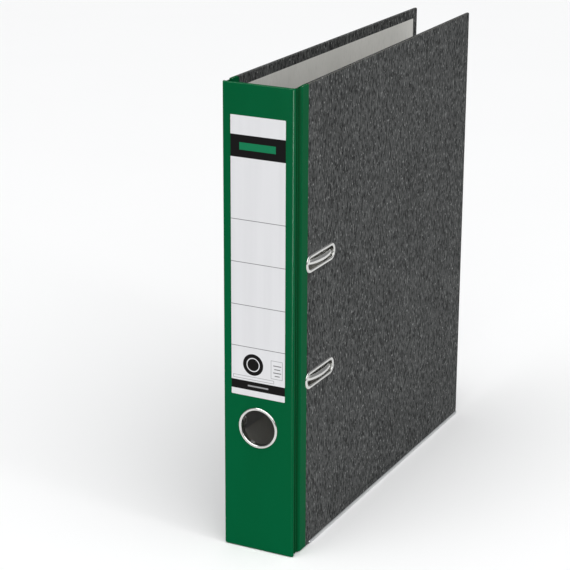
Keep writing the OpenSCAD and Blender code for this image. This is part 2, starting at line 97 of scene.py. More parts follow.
class Nodes:
    """Small helper to write a node tree in a few lines."""

    def __init__(self, name):
        self.mat = bpy.data.materials.new(name)
        self.mat.use_nodes = True
        self.tree = self.mat.node_tree
        self.shader = self.tree.nodes["Principled BSDF"]
        self.coord = self.tree.nodes.new("ShaderNodeTexCoord").outputs["Object"]

    def set(self, **values):
        for name, value in values.items():
            title = name.replace("_", " ").title().replace("Ior", "IOR")
            self.shader.inputs[title].default_value = value
        return self

    def link(self, source, target):
        self.tree.links.new(source, target)

    def scaled(self, x, y, z):
        node = self.tree.nodes.new("ShaderNodeMapping")
        node.inputs["Scale"].default_value = (x, y, z)
        self.link(self.coord, node.inputs["Vector"])
        return node.outputs["Vector"]

    def noise(self, vector, scale=1.0, detail=2.0, rough=0.5, distort=0.0):
        node = self.tree.nodes.new("ShaderNodeTexNoise")
        node.inputs["Scale"].default_value = scale
        node.inputs["Detail"].default_value = detail
        node.inputs["Roughness"].default_value = rough
        node.inputs["Distortion"].default_value = distort
        self.link(vector, node.inputs["Vector"])
        return node.outputs["Fac"]

    def span(self, value, a, b, c=0.0, d=1.0):
        """Maps value from a..b to c..d, and clamps it."""
        node = self.tree.nodes.new("ShaderNodeMapRange")
        for name, number in zip(("From Min", "From Max", "To Min", "To Max"), (a, b, c, d)):
            node.inputs[name].default_value = number
        self.link(value, node.inputs["Value"])
        return node.outputs["Result"]

    def calc(self, kind, a, b):
        node = self.tree.nodes.new("ShaderNodeMath")
        node.operation = kind
        for socket, value in zip(node.inputs, (a, b)):
            if isinstance(value, (int, float)):
                socket.default_value = value
            else:
                self.link(value, socket)
        return node.outputs[0]

    def mix(self, factor, a, b):
        node = self.tree.nodes.new("ShaderNodeMix")
        node.data_type = "RGBA"
        self.link(factor, node.inputs["Factor"])
        for socket, value in ((node.inputs[6], a), (node.inputs[7], b)):
            if isinstance(value, tuple):
                socket.default_value = (*value, 1.0)
            else:
                self.link(value, socket)
        return node.outputs[2]

    def colour(self, source):
        self.link(source, self.shader.inputs["Base Color"])
        return self

    def rough(self, source):
        self.link(source, self.shader.inputs["Roughness"])
        return self

    def bump(self, source, depth, strength=1.0):
        node = self.tree.nodes.new("ShaderNodeBump")
        node.inputs["Strength"].default_value = strength
        node.inputs["Distance"].default_value = depth
        self.link(source, node.inputs["Height"])
        self.link(node.outputs["Normal"], self.shader.inputs["Normal"])
        return self

    def axis(self, name):
        node = self.tree.nodes.new("ShaderNodeSeparateXYZ")
        self.link(self.coord, node.inputs["Vector"])
        return node.outputs[name]

    def attribute(self, name):
        node = self.tree.nodes.new("ShaderNodeAttribute")
        node.attribute_name = name
        return node.outputs["Fac"]


def green_film():
    """Smooth covering film, with shade painted darker into the grooves of the pressed joint."""
    n = Nodes("green_film")
    cloud = n.noise(n.scaled(30, 30, 9), 1.0, 3.0)
    grain = n.noise(n.scaled(900, 900, 500), 1.0, 2.0)
    plain = n.mix(n.span(cloud, 0.3, 0.7), (0.0, 0.086, 0.028), (0.0, 0.096, 0.033))
    # painted shade: the film's colour is darkened in the joint's grooves, where they would lie in shadow
    n.colour(n.mix(n.attribute("painted_groove_shade"), plain, (0.0, 0.042, 0.010)))
    n.rough(n.span(grain, 0.3, 0.7, 0.30, 0.38))
    n.bump(grain, 0.000008, 0.2)
    return n.set(ior=1.5, specular_ior_level=0.01).mat


def marbled_paper():
    """Dark paper with short upright streaks and light flecks."""
    n = Nodes("marbled_paper")
    cloud = n.noise(n.scaled(26, 26, 12), 1.0, 4.0, 0.6, 0.6)
    streak = n.noise(n.scaled(850, 850, 230), 1.0, 4.0, 0.68)
    fine = n.noise(n.scaled(2300, 2300, 900), 1.0, 2.0, 0.5)
    fleck = n.noise(n.scaled(480, 480, 150), 1.0, 1.0, 0.4)
    fleck_b = n.noise(n.scaled(950, 950, 420), 1.0, 0.0, 0.4)
    base = n.mix(n.span(cloud, 0.28, 0.72), (0.020, 0.0208, 0.021), (0.082, 0.0845, 0.084))
    tone = n.mix(n.span(streak, 0.38, 0.64), (0.003, 0.0032, 0.0034), (0.143, 0.147, 0.145))
    mixed = n.mix(n.span(cloud, 0.3, 0.7, 0.68, 0.80), base, tone)
    lighter = n.mix(n.span(fleck, 0.66, 0.80, 0.0, 0.6), mixed, (0.27, 0.275, 0.27))
    specks = n.mix(n.span(fleck_b, 0.70, 0.82, 0.0, 0.7), lighter, (0.38, 0.385, 0.38))
    dark = n.mix(n.span(fine, 0.54, 0.72, 0.0, 0.55), specks, (0.012, 0.0125, 0.0125))
    n.colour(dark)
    n.rough(n.span(streak, 0.3, 0.7, 0.62, 0.5))
    n.bump(n.calc("ADD", streak, fine), 0.00004, 0.5)
    return n.set(specular_ior_level=0.015).mat


def lining_paper():
    """Pale paper with a faint upright fibre."""
    n = Nodes("lining_paper")
    cloud = n.noise(n.scaled(22, 22, 10), 1.0, 3.0)
    fibre = n.noise(n.scaled(1100, 1100, 160), 1.0, 3.0, 0.6)
    fine = n.noise(n.scaled(2400, 2400, 1400), 1.0, 1.0)
    base = n.mix(n.span(cloud, 0.3, 0.7), (0.60, 0.595, 0.565), (0.69, 0.68, 0.65))
    tone = n.mix(n.span(fibre, 0.5, 0.75, 0.0, 0.45), base, (0.46, 0.46, 0.43))
    n.colour(n.mix(n.span(fine, 0.6, 0.8, 0.0, 0.35), tone, (0.74, 0.74, 0.71)))
    n.rough(n.span(fibre, 0.3, 0.7, 0.85, 0.72))
    n.bump(fibre, 0.00003, 0.5)
    return n.set(specular_ior_level=0.2).mat


def greyboard():
    """Recycled board, layered along its edges."""
    n = Nodes("greyboard")
    layer = n.noise(n.scaled(1500, 300, 300), 1.0, 4.0, 0.7)
    n.colour(n.mix(n.span(layer, 0.3, 0.7), (0.22, 0.2, 0.165), (0.34, 0.31, 0.265)))
    n.rough(n.span(layer, 0.3, 0.7, 0.95, 0.85))
    n.bump(layer, 0.0001, 0.6)
    return n.mat


def label_print():
    """Label paper with plain printed bars, rules and generic marks."""
    n = Nodes("label_print")
    z = n.calc("MULTIPLY", n.axis("Z"), 1000.0)
    x = n.calc("ADD", n.calc("MULTIPLY", n.axis("X"), 1000.0), CENTRE_X)
    tint = n.noise(n.scaled(160, 160, 8), 1.0, 2.0)
    paper = n.mix(n.span(tint, 0.3, 0.7), (0.655, 0.655, 0.67), (0.69, 0.69, 0.705))

    def band(value, low, high, soft=0.08):
        rise = n.span(value, low - soft, low + soft)
        fall = n.span(value, high - soft, high + soft)
        return n.calc("SUBTRACT", rise, fall)

    def box(x0, x1, z0, z1):
        return n.calc("MULTIPLY", band(x, x0, x1), band(z, z0, z1))

    def outline(x0, x1, z0, z1, w=0.22):
        return n.calc("SUBTRACT", box(x0, x1, z0, z1), box(x0 + w, x1 - w, z0 + w, z1 - w))

    def ring(cx, cz, r0, r1):
        dx = n.calc("SUBTRACT", x, cx)
        dz = n.calc("SUBTRACT", z, cz)
        dist = n.calc("SQRT", n.calc("ADD", n.calc("MULTIPLY", dx, dx), n.calc("MULTIPLY", dz, dz)), 0)
        return band(dist, r0, r1)

    ink = (0.003, 0.0025, 0.0028)
    rule = (0.12, 0.12, 0.125)
    inked = paper
    for low, high in ((270.4, 285.0), (114.3, 120.4)):
        inked = n.mix(box(-30, 30, low, high), inked, ink)
    for level in (229.6, 201.2, 172.4, 144.0):
        inked = n.mix(box(-30, 30, level - 0.2, level + 0.2), inked, rule)
    inked = n.mix(ring(-3.6, 132.2, -1.0, 7.4), inked, ink)
    inked = n.mix(ring(-3.6, 132.2, 4.2, 4.8), inked, (0.7, 0.7, 0.72))
    inked = n.mix(outline(9.4, 17.8, 125.0, 137.6), inked, rule)
    for level, reach in ((134.2, 2.9), (131.8, 2.2), (129.4, 2.9), (127.2, 1.8)):
        inked = n.mix(box(14 - reach, 14 + reach, level - 0.3, level + 0.3), inked, rule)
    inked = n.mix(outline(-18.2, 11.6, 121.6, 123.8), inked, rule)
    inked = n.mix(box(-13.2, 12.6, 275.3, 280.1), inked, (0.004, 0.17, 0.07))
    inked = n.mix(box(-7.5, 7.5, 116.8, 117.8), inked, (0.3, 0.3, 0.31))
    n.colour(inked)
    n.rough(n.span(tint, 0.3, 0.7, 0.42, 0.5))
    n.bump(n.noise(n.scaled(1500, 1500, 1500), 1.0, 1.0), 0.00001, 0.3)
    return n.set(specular_ior_level=0.1).mat


def metal(name, dark, light, rough, stretch=(300, 300, 300), wear=0.06, depth=0.00001):
    """Bare or plated metal with a brushed grain and smudges that dull it."""
    n = Nodes(name)
    smudge = n.noise(n.scaled(55, 55, 55), 1.0, 3.0)
    brush = n.noise(n.scaled(*stretch), 1.0, 3.0, 0.6)
    n.colour(n.mix(n.span(smudge, 0.3, 0.7), dark, light))
    n.rough(n.calc("ADD", n.span(brush, 0.3, 0.7, rough - 0.03, rough + 0.03),
                   n.span(smudge, 0.4, 0.75, 0.0, wear)))
    n.bump(brush, depth, 0.35)
    return n.set(metallic=1.0).mat


def black_plastic():
    """Finely grained moulded plastic."""
    n = Nodes("black_plastic")
    grain = n.noise(n.scaled(2500, 2500, 2500), 1.0, 1.0)
    n.colour(n.mix(grain, (0.012, 0.012, 0.013), (0.022, 0.022, 0.023)))
    n.rough(n.span(grain, 0.3, 0.7, 0.42, 0.55))
    n.bump(grain, 0.00003, 0.4)
    return n.mat


MATS = {
    "green_covering": green_film(),
    "marbled_paper": marbled_paper(),
    "lining_paper": lining_paper(),
    "greyboard": greyboard(),
    "label_paper": label_print(),
    "nickel_plate": metal("nickel_plate", (0.60, 0.60, 0.58), (0.70, 0.70, 0.68), 0.17),
    "zinc_steel": metal("zinc_steel", (0.52, 0.53, 0.54), (0.64, 0.65, 0.66), 0.30,
                        (900, 900, 60), 0.10, 0.00002),
    "spring_steel": metal("spring_steel", (0.40, 0.40, 0.41), (0.52, 0.52, 0.53), 0.26),
    "turned_steel": metal("turned_steel", (0.58, 0.58, 0.58), (0.70, 0.70, 0.70), 0.20,
                          (200, 200, 2500), 0.06, 0.00002),
    "black_plastic": black_plastic(),
}

# ---------------------------------------------------------------- mesh helpers


def finish(name, verts, faces, slot, body=None, stands=(), sharp=35.0):
    """A mesh piece from row-frame points, cleaned, shaded and put on its body."""
    mesh = bpy.data.meshes.new(name)
    mesh.from_pydata([tuple(v) for v in verts], [], faces)
    bm = bmesh.new()
    bm.from_mesh(mesh)
    bmesh.ops.remove_doubles(bm, verts=bm.verts, dist=2e-6)
    bmesh.ops.dissolve_degenerate(bm, edges=bm.edges, dist=1e-6)
    loose = [v for v in bm.verts if not v.link_faces]
    bmesh.ops.delete(bm, geom=loose, context="VERTS")
    bmesh.ops.recalc_face_normals(bm, faces=bm.faces)
    return settle(name, mesh, bm, slot, body, stands, sharp)


def settle(name, mesh, bm, slot, body, stands, sharp):
    """Shades a finished mesh, with its sharp edges kept, and makes it a piece on its body."""
    for face in bm.faces:
        face.smooth = True
    limit = math.radians(sharp)
    for edge in bm.edges:
        edge.smooth = len(edge.link_faces) == 2 and edge.calc_face_angle(0.0) < limit
    bm.to_mesh(mesh)
    bm.free()
    mesh.update()
    obj = bpy.data.objects.new(name, mesh)
    bpy.context.scene.collection.objects.link(obj)
    mesh.materials.append(MATS[slot])
    weigh_normals(obj)
    if body:
        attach(obj, body)
    if stands:
        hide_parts(*stands)
    return obj


def weigh_normals(obj):
    normals = obj.modifiers.new("weighted", "WEIGHTED_NORMAL")
    normals.keep_sharp = True
    normals.weight = 80


def refined(node, name, width, slot, body, segments=2):
    """A copy of a CAD node with flat faces joined and its sharp edges rounded."""
    corner = math.radians(28.0)
    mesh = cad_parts[node].data.copy()
    mesh.name = name
    mesh.materials.clear()
    bm = bmesh.new()
    bm.from_mesh(mesh)
    bmesh.ops.remove_doubles(bm, verts=bm.verts, dist=3e-6)
    bmesh.ops.dissolve_degenerate(bm, edges=bm.edges, dist=1e-6)
    bmesh.ops.dissolve_limit(bm, angle_limit=math.radians(0.6), verts=bm.verts, edges=bm.edges)
    edges = [e for e in bm.edges if len(e.link_faces) == 2
             and e.calc_face_angle(0.0) > corner]
    bmesh.ops.bevel(bm, geom=edges, offset=width / 1000, offset_type="OFFSET", segments=segments,
                    profile=0.5, affect="EDGES", clamp_overlap=True, harden_normals=False)
    bmesh.ops.remove_doubles(bm, verts=bm.verts, dist=1e-6)
    if "custom_normal" in mesh.attributes:
        mesh.attributes.remove(mesh.attributes["custom_normal"])
    return settle(name, mesh, bm, slot, body, (node,), 50.0)


def swept(rings, closed_path=False, closed_section=True, caps=True):
    """Joins rings of points, all of one length, into faces."""
    count, total = len(rings[0]), len(rings)
    if any(len(ring) != count for ring in rings):
        raise ValueError("the rings of a swept piece differ in length")
    verts = [p for ring in rings for p in ring]
    faces = []
    for i in range(total if closed_path else total - 1):
        j = (i + 1) % total
        for k in range(count if closed_section else count - 1):
            m = (k + 1) % count
            faces.append((i * count + k, i * count + m, j * count + m, j * count + k))
    if caps and not closed_path:
        faces.append(tuple(range(count - 1, -1, -1)))
        faces.append(tuple((total - 1) * count + k for k in range(count)))
    return verts, faces


def lathe(profile, place, steps):
    """Turns (radius, height) points round an axis. place(a, b, h) gives the row-frame point."""
    rings = []
    for i in range(steps):
        t = 2 * math.pi * i / steps
        rings.append([place(r * math.cos(t), r * math.sin(t), h) for r, h in profile])
    return swept(rings, closed_path=True, closed_section=False, caps=False)


def arc(cx, cy, r, a0, a1, steps):
    """Points on an arc, in degrees, both ends included."""
    return [(cx + r * math.cos(math.radians(a0 + (a1 - a0) * i / steps)),
             cy + r * math.sin(math.radians(a0 + (a1 - a0) * i / steps))) for i in range(steps + 1)]


def tube(points, radii, sides):
    """Round wire along smooth points, with a radius at each and rings that don't twist."""
    rings = []
    up = None
    for i, (p, r) in enumerate(zip(points, radii)):
        ahead = points[min(i + 1, len(points) - 1)] - points[max(i - 1, 0)]
        ahead.normalize()
        if up is None:
            up = ahead.orthogonal().normalized()
        up = (up - ahead * up.dot(ahead)).normalized()
        side = ahead.cross(up)
        rings.append([p + (up * math.cos(a) + side * math.sin(a)) * r
                      for a in (2 * math.pi * k / sides for k in range(sides))])
    return swept(rings)


def fillet(points, radii, steps=6):
    """Rounds the corners of an open 2-D line."""
    out = [points[0]]
    for a, b, c, r in zip(points, points[1:], points[2:], radii):
        a, b, c = Vector(a), Vector(b), Vector(c)
        u, v = (a - b).normalized(), (c - b).normalized()
        half = u.angle(v) / 2
        run = min(r / math.tan(half), (a - b).length * 0.49, (c - b).length * 0.49)
        rad = run * math.tan(half)
        centre = b + (u + v).normalized() * (rad / math.sin(half))
        start, end = b + u * run, b + v * run
        p, q = start - centre, end - centre
        turn = p.angle_signed(q)
        for i in range(steps + 1):
            t = -turn * i / steps
            ct, st = math.cos(t), math.sin(t)
            out.append((centre.x + p.x * ct - p.y * st, centre.y + p.x * st + p.y * ct))
    out.append(points[-1])
    return out


def levels(low, high, step):
    """Even steps from low to high, both included, of about the length step."""
    count = max(1, round((high - low) / step))
    return [low + (high - low) * i / count for i in range(count + 1)]


# ---------------------------------------------------------------- green covering


def outer_line():
    """Outer face of the covering, from the middle of the spine to its end on a cover."""
    r = SPINE_R
    flat = [(x, 0.0) for x in levels(0.0, SPINE_HALF - r, 4.0)]
    corner = arc(SPINE_HALF - r, r, r, -90, 0, 8)[1:]
    crease = fillet(CREASE, CREASE_R, 5)
    strip = [(HALF_W, y) for y in levels(CREASE[-1][1], STRIP_Y1, 3.0)][1:]
    return flat + corner + crease[1:] + strip


def inner_line(outer):
    """Inside face that goes with each outer point: behind the board, or behind the film."""
    reach, joint_depth = 24.9, 0.55
    pairs = []
    for x, y in outer:
        if y < SPINE_IN:
            pairs.append((min(x, reach), SPINE_IN))
        elif y < COVER_Y0 - 0.3:
            pairs.append((x - joint_depth, y))
        else:
            pairs.append((INNER_X, max(y, COVER_Y0)))
    return pairs


def film_loop(outer, inner, place, lower, upper):
    """One slice of the covering: turn-in, bottom edge, outer face, top edge, turn-in."""
    o, i = Vector(outer), Vector(inner)
    deep = max((i - o).length, 0.3)
    d = (i - o) / deep
    r = min(0.9, deep * 0.49)

    def at(q, z):
        p = o + d * q
        return place(p.x, p.y, z)

    rise = [math.pi / 2 * k / 4 for k in range(5)]
    fall = [math.pi / 2 * (1 - k / 4) for k in range(5)]
    rows = 38
    points = [at(deep, z) for z in (lower + TURN_IN, lower + TURN_IN * 0.5)]
    points += [at(deep - r + r * math.sin(a), lower + r - r * math.cos(a)) for a in fall]
    points += [at(r - r * math.sin(a), lower + r - r * math.cos(a)) for a in rise]
    points += [at(0.0, lower + 4 + (upper - lower - 8) * k / rows) for k in range(rows + 1)]
    points += [at(r - r * math.sin(a), upper - r + r * math.cos(a)) for a in fall]
    points += [at(deep - r + r * math.sin(a), upper - r + r * math.cos(a)) for a in rise]
    points += [at(deep, z) for z in (upper - TURN_IN * 0.5, upper - TURN_IN)]
    return points


def sink(y):
    """How far the joint's end stands back at y, as a share of its depth: nothing on the boards."""
    start, end = 1.9, 10.6
    if y <= start or y >= end:
        return 0.0
    return math.sin(math.pi * (y - start) / (end - start)) ** 0.6


def film(name, sign, place, stands):
    """Half of the covering: from the middle of the spine over the joint to the end of its strip."""
    outer = outer_line()
    rings = []
    for (ox, oy), (ix, iy) in zip(outer, inner_line(outer)):
        spot = place if oy > 2.0 else rest
        lower, upper = BASE + SINK_LOW * sink(oy), CASE_H - SINK_TOP * sink(oy)
        rings.append(film_loop((sign * ox, oy), (sign * ix, iy), spot, lower, upper))
    verts, faces = swept(rings, closed_section=False, caps=False)
    obj = finish(name, verts, faces, "green_covering", stands=stands, sharp=60.0)
    cut_thumb(obj)
    thick = obj.modifiers.new("film", "SOLIDIFY")
    thick.thickness = 0.00022
    thick.offset = -1.0
    apply_modifiers(obj)
    # paints shade into the grooves of the joint
    mark_painted_groove_shade(obj)
    bend_over_joint(obj)
    return obj


def mark_painted_groove_shade(obj):
    """Marks where shade is painted on the film: darker in the grooves of the joint, and not on the ridge.
    """
    # painted shade: fades in and out across the joint, and is left off the ridge
    layer = obj.data.attributes.new("painted_groove_shade", "FLOAT", "POINT")
    start, rise, end, fall, ridge = 2.2, 0.7, 9.9, 1.5, 0.8
    for vert, item in zip(obj.data.vertices, layer.data):
        y = vert.co.y * 1000 + CENTRE_Y
        inside = min(max((y - start) / rise, 0.0), 1.0) * min(max((end - y) / fall, 0.0), 1.0)
        item.value = inside * min(abs(y - RIDGE_Y) / ridge, 1.0)


def bend_over_joint(obj):
    """Bakes a piece's placement into its mesh."""
    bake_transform(obj)


def cut_thumb(obj):
    """Cuts the thumb hole out of the flat face and rounds its outline."""
    bm = bmesh.new()
    bm.from_mesh(obj.data)
    centre = rest(0, 0, THUMB_Z)
    radius = (THUMB_R + 0.75) / 1000
    sides, front = 48, rest(0, 1, 0).y
    for k in range(sides):
        t = 2 * math.pi * (k + 0.5) / sides
        normal = Vector((math.cos(t), 0, math.sin(t)))
        near = [f for f in bm.faces if f.calc_center_median().y < front
                and (f.calc_center_median() - centre).length < 0.030]
        geom = list({e for f in near for e in f.edges}) + near
        geom += list({v for f in near for v in f.verts})
        bmesh.ops.bisect_plane(bm, geom=geom, plane_co=centre + normal * radius, plane_no=normal,
                               dist=1e-7)
    inside = [f for f in bm.faces if f.calc_center_median().y < front
              and all((Vector((v.co.x, centre.y, v.co.z)) - centre).length < radius * 1.004
                      for v in f.verts)]
    bmesh.ops.delete(bm, geom=inside, context="FACES")
    edges = [e for e in bm.edges if len(e.link_faces) == 2
             and e.calc_face_angle(1.0) < math.radians(0.05)
             and all(v.co.y < rest(0, 0.01, 0).y for v in e.verts)
             and (e.verts[0].co - centre).length < 0.034]
    bmesh.ops.dissolve_edges(bm, edges=edges, use_verts=True)
    big = [f for f in bm.faces if len(f.verts) > 4]
    bmesh.ops.triangulate(bm, faces=big)
    bm.to_mesh(obj.data)
    bm.free()
    obj.data.update()


def apply_modifiers(obj):
    """Makes the modifiers that change the shape final, and leaves the shading one."""
    obj.modifiers.remove(obj.modifiers["weighted"])
    graph = bpy.context.evaluated_depsgraph_get()
    mesh = bpy.data.meshes.new_from_object(obj.evaluated_get(graph))
    old = obj.data
    obj.modifiers.clear()
    obj.data = mesh
    bpy.data.meshes.remove(old)
    weigh_normals(obj)


front_film = film("spine_film_front", 1, rest,
                  ("front_joint", "front_strip", "spine_cover"))
back_film = film("spine_film_back", -1, lean, ("back_joint", "back_strip"))


# ---------------------------------------------------------------- papers


def slot_outline(q, steps=14):
    """Round-ended outline of a slot opening, grown by q, as (y, z) from its centre."""
    r = SLOT_H / 2 + q
    run = SLOT_L / 2 - SLOT_H / 2
    return arc(run, 0, r, -90, 90, steps) + arc(-run, 0, r, 90, 270, steps)


def cover_lining(name, sign, place, body, node, holes=()):
    """Lining of a cover, with rounded corners, eased edges and holes through it."""
    y0, y1, z0, z1 = 9.2, CASE_D - TURN_IN, BASE + TURN_IN, CASE_H - TURN_IN
    x, thick, ease, corner = sign * (INNER_X - 0.04), sign * 0.22, 0.06, 0.6
    ring = []
    for cy, cz, a in ((y1 - corner, z0 + corner, -90), (y1 - corner, z1 - corner, 0),
                      (y0 + corner, z1 - corner, 90), (y0 + corner, z0 + corner, 180)):
        ring += arc(cy, cz, corner, a, a + 90, 4)
    loops = [ring] + list(holes)
    verts, faces = [], []
    tops, bottoms = [], []
    for number, loop in enumerate(loops):
        n = len(loop)
        centre = Vector((sum(p[0] for p in loop) / n, sum(p[1] for p in loop) / n))
        start = len(verts)
        pull = -ease if number == 0 else ease
        inner = [tuple(Vector(p) + (Vector(p) - centre).normalized() * pull) for p in loop]
        for depth, line in ((0.0, inner), (sign * ease, loop), (thick, loop)):
            verts += [place(x + depth, a, b) for a, b in line]
        for band in range(2):
            for k in range(n):
                m = (k + 1) % n
                base = start + band * n
                faces.append((base + k, base + m, base + n + m, base + n + k))
        tops.append((start, inner))
        bottoms.append((start + 2 * n, loop))
    for group in (tops, bottoms):
        index = [first + k for first, line in group for k in range(len(line))]
        polys = [[Vector((a, b, 0)) for a, b in line] for first, line in group]
        faces += [tuple(index[k] for k in tri) for tri in tessellate_polygon(polys)]
    return finish(name, verts, faces, "lining_paper", body, stands=(node,), sharp=80.0)


def wrap_paper(name, sign, place, body, node, holes):
    """Covering paper: outer face, rounded edges and the part turned in on three sides."""
    y0, y1, z0, z1 = STRIP_Y1 - 1.5, CASE_D, BASE, CASE_H
    r, corner, rim, deep = 0.85, 0.95, 6.0, 2.44
    along, upward = levels(y0, y1 - 8, 12.0), levels(z0 + 8, z1 - 8, 12.0)
    quarter = [math.pi / 2 * k / 5 for k in range(6)]
    section = [(rim, 0.0), (3.0, 0.0)]
    section += [(r - r * math.sin(a), r - r * math.cos(a)) for a in quarter]
    section += [(r - r * math.cos(a), deep - r + r * math.sin(a)) for a in quarter]
    section += [(3.0, deep), (TURN_IN, deep)]

    def spot(y, z, d):
        return place(sign * (HALF_W - 0.05 - d), y, z)

    rings = []
    for y in along:
        rings.append([spot(y, z0 + q, d) for q, d in section])
    for a in range(0, 91, 15):
        ca, sa = math.cos(math.radians(a)), math.sin(math.radians(a))
        rings.append([spot(y1 - corner + max(corner - q, 0) * sa - max(q - corner, 0),
                           z0 + corner - max(corner - q, 0) * ca + max(q - corner, 0), d)
                      for q, d in section])
    for z in upward:
        rings.append([spot(y1 - q, z, d) for q, d in section])
    for a in range(0, 91, 15):
        ca, sa = math.cos(math.radians(a)), math.sin(math.radians(a))
        rings.append([spot(y1 - corner + max(corner - q, 0) * ca - max(q - corner, 0),
                           z1 - corner + max(corner - q, 0) * sa - max(q - corner, 0), d)
                      for q, d in section])
    for y in reversed(along):
        rings.append([spot(y, z1 - q, d) for q, d in section])
    verts, faces = swept(rings, closed_section=False, caps=False)
    edge = [(y, z0 + rim) for y in along]
    edge += [(y1 - rim, z0 + rim)] + [(y1 - rim, z) for z in upward]
    edge += [(y1 - rim, z1 - rim)] + [(y, z1 - rim) for y in reversed(along)]
    loops = [edge] + list(holes)
    flat = [p for line in loops for p in line]
    start = len(verts)
    verts += [spot(y, z, 0.0) for y, z in flat]
    polys = [[Vector((y, z, 0)) for y, z in line] for line in loops]
    faces += [tuple(start + k for k in tri) for tri in tessellate_polygon(polys)]
    obj = finish(name, verts, faces, "marbled_paper", sharp=60.0)
    thick = obj.modifiers.new("paper", "SOLIDIFY")
    thick.thickness = 0.0002
    thick.offset = -1.0
    apply_modifiers(obj)
    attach(obj, body)
    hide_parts(node)
    return obj


def on_case(q):
    """The two slot outlines in case (y, z), grown by q."""
    return [[(SLOT_Y + a, MID + side * PITCH / 2 + b) for a, b in slot_outline(q)]
            for side in (-1, 1)]


wrap_paper("cover_paper_front", 1, rest, "front_cover", "front_paper", on_case(0.7))
wrap_paper("cover_paper_back", -1, lean, "back_cover", "back_paper", ())
cover_lining("lining_front", 1, rest, "front_cover", "front_liner", on_case(0.7))
cover_lining("lining_back", -1, lean, "back_cover", "back_liner")


def spine_lining():
    """Lining of the spine, with the thumb hole through it."""
    x0, x1, z0, z1 = -24.6, 24.6, BASE + TURN_IN, CASE_H - TURN_IN
    hole = [(a, THUMB_Z + b) for a, b in arc(0, 0, THUMB_R + 0.7, 0, 360, 64)[:-1]]
    ring = [(x0, z0), (x1, z0), (x1, z1), (x0, z1)]
    verts, faces = [], []
    for y in (SPINE_IN + 0.04, SPINE_IN - 0.2):
        start = len(verts)
        flat = ring + hole
        verts += [rest(a, y, b) for a, b in flat]
        polys = [[Vector((a, b, 0)) for a, b in line] for line in (ring, hole)]
        faces += [tuple(start + k for k in tri) for tri in tessellate_polygon(polys)]
    n = len(ring) + len(hole)
    for first, count in ((0, len(ring)), (len(ring), len(hole))):
        for k in range(count):
            a, b = first + k, first + (k + 1) % count
            faces.append((a, b, n + b, n + a))
    return finish("lining_spine", verts, faces, "lining_paper", "spine", stands=("spine_liner",))


spine_lining()


def joint_lining(name, sign, place):
    """Lining of a joint: runs behind the film from the spine's inside to the cover's."""
    inside = [(24.2, SPINE_IN + 0.05), (24.75, SPINE_IN + 0.08)]
    inside += [(x - 0.58, y + 0.02) for x, y in outer_line() if 2.75 < y < 8.9]
    inside += [(23.66, COVER_Y0 - 0.6), (23.5, COVER_Y0 - 0.1), (23.44, COVER_Y0 + 0.8)]
    rings = []
    for x, y in inside:
        spot = place if y > 2.9 else rest
        rings.append([spot(sign * x, y, z) for z in levels(BASE + TURN_IN, CASE_H - TURN_IN, 12.0)])
    verts, faces = swept(rings, closed_section=False, caps=False)
    obj = finish(name, verts, faces, "lining_paper", sharp=80.0)
    thick = obj.modifiers.new("paper", "SOLIDIFY")
    thick.thickness = 0.00015
    thick.offset = 0.0
    apply_modifiers(obj)
    bend_over_joint(obj)
    return obj


joint_lining("lining_joint_front", 1, rest)
joint_lining("lining_joint_back", -1, lean)


def label():
    """Paper label on the spine, with slightly rounded corners and a thin edge."""
    corner = 0.4
    x0, x1 = -LABEL_HALF, LABEL_HALF
    z0, z1 = LABEL_Z
    ring = []
    for cx, cz, a in ((x1 - corner, z0 + corner, -90), (x1 - corner, z1 - corner, 0),
                      (x0 + corner, z1 - corner, 90), (x0 + corner, z0 + corner, 180)):
        ring += arc(cx, cz, corner, a, a + 90, 3)
    n = len(ring)
    verts = [rest(a, 0.0, b) for a, b in ring]
    verts += [rest(a, -0.11, b) for a, b in ring]
    verts += [rest(a * 0.998, -0.15, (b - MID) * 0.9995 + MID) for a, b in ring]
    faces = [tuple(range(n)), tuple(range(3 * n - 1, 2 * n - 1, -1))]
    for band in range(2):
        for k in range(n):
            m = (k + 1) % n
            faces.append((band * n + k, band * n + m, (band + 1) * n + m, (band + 1) * n + k))
    return finish("label", verts, faces, "label_paper", "spine", stands=("spine_label",))


label()

# ---------------------------------------------------------------- metal fittings


def thumb_place(a, b, h):
    return rest(a, h, THUMB_Z + b)


def thumb_fittings():
    """Rolled rim of the thumb hole, and the washer it is closed on inside the spine."""
    r = 1.05
    profile = [(THUMB_R, SPINE_IN + 0.4), (THUMB_R, 0.6)]
    profile += [(THUMB_R + r - r * math.cos(a), -r * math.sin(a))
                for a in (math.pi * k / 14 for k in range(15))]
    profile += [(THUMB_R + 2 * r - 0.25, 0.0), (THUMB_R + 0.7, 0.02), (THUMB_R + 0.62, SPINE_IN)]
    profile += [(THUMB_R + 0.62, SPINE_IN + 0.45), (THUMB_R + 0.3, SPINE_IN + 0.52)]
    verts, faces = lathe(profile + [profile[0]], thumb_place, 96)
    finish("thumb_rim", verts, faces, "nickel_plate", "spine", stands=("thumb_ring",))
    low, high = SPINE_IN, SPINE_IN + 0.5
    profile = [(THUMB_R + 0.65, low + 0.02), (THUMB_R + 2.9, low + 0.02), (THUMB_R + 2.9, low + 0.2),
               (THUMB_R + 2.7, high - 0.06), (THUMB_R + 2.3, high), (THUMB_R + 1.0, high),
               (THUMB_R + 0.75, high - 0.05), (THUMB_R + 0.65, high - 0.15)]
    verts, faces = lathe(profile + [profile[0]], thumb_place, 96)
    finish("thumb_washer", verts, faces, "nickel_plate", "spine", stands=("thumb_ring_washer",))


thumb_fittings()


